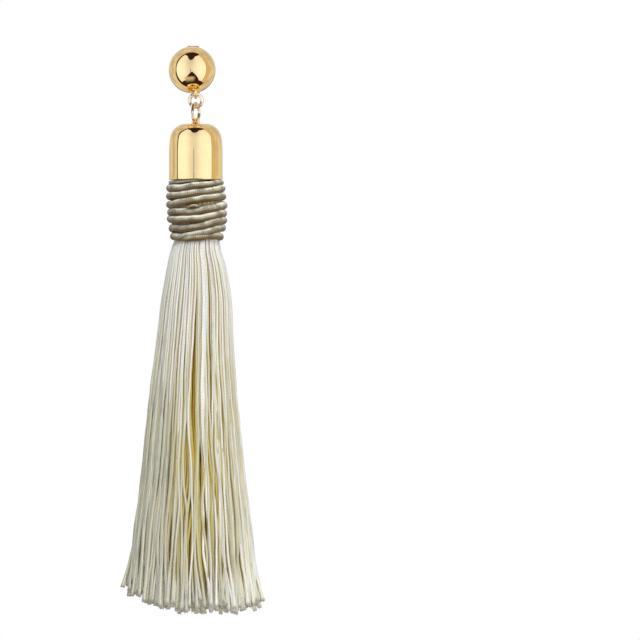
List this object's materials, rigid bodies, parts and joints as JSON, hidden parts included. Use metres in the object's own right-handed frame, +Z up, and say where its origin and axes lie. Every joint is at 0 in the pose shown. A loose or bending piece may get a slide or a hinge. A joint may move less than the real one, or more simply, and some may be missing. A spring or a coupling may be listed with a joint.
{
  "type": "tassel earring",
  "caption": "Long ivory tassel hanging from a polished gold bullet cap and a ball ear stud, with a ribbed cord binding under the cap.",
  "frame": {"origin": "on the ear post, in the plane where the back of the ball meets the ear lobe", "axes": "+Z up along the hanging drop, +Y back along the ear post, -Y to the front, +X to the right seen from the front"},
  "size_m": [0.0291, 0.0299, 0.121],
  "materials": {
    "polished_gold": "mirror polished gold plate",
    "ring_gold": "bright pale gold plate",
    "nut_gold": "satin pale gold plate",
    "binding_silk": "silver beige cord wound with fine silk",
    "tassel_silk": "ivory twisted silk thread"
  },
  "bodies": {
    "stud": {"ball_stud": "polished_gold", "ear_nut": "nut_gold"},
    "link": {"upper_ring": "ring_gold"},
    "drop": {"lower_ring": "ring_gold", "cap": "polished_gold", "binding_cord": "binding_silk", "tassel": "tassel_silk"}
  },
  "joints": [
    {"name": "drop_swing_front", "type": "hinge", "parent": "stud", "child": "link", "pos_m": [0.0008, -0.0069, -0.00726], "axis": [1, 0, 0], "range_deg": [-60, 45]},
    {"name": "drop_swing_side", "type": "hinge", "parent": "link", "child": "drop", "pos_m": [0.0008, -0.0069, -0.00922], "axis": [0.342, 0.9397, 0], "range_deg": [-45, 45]}
  ]
}
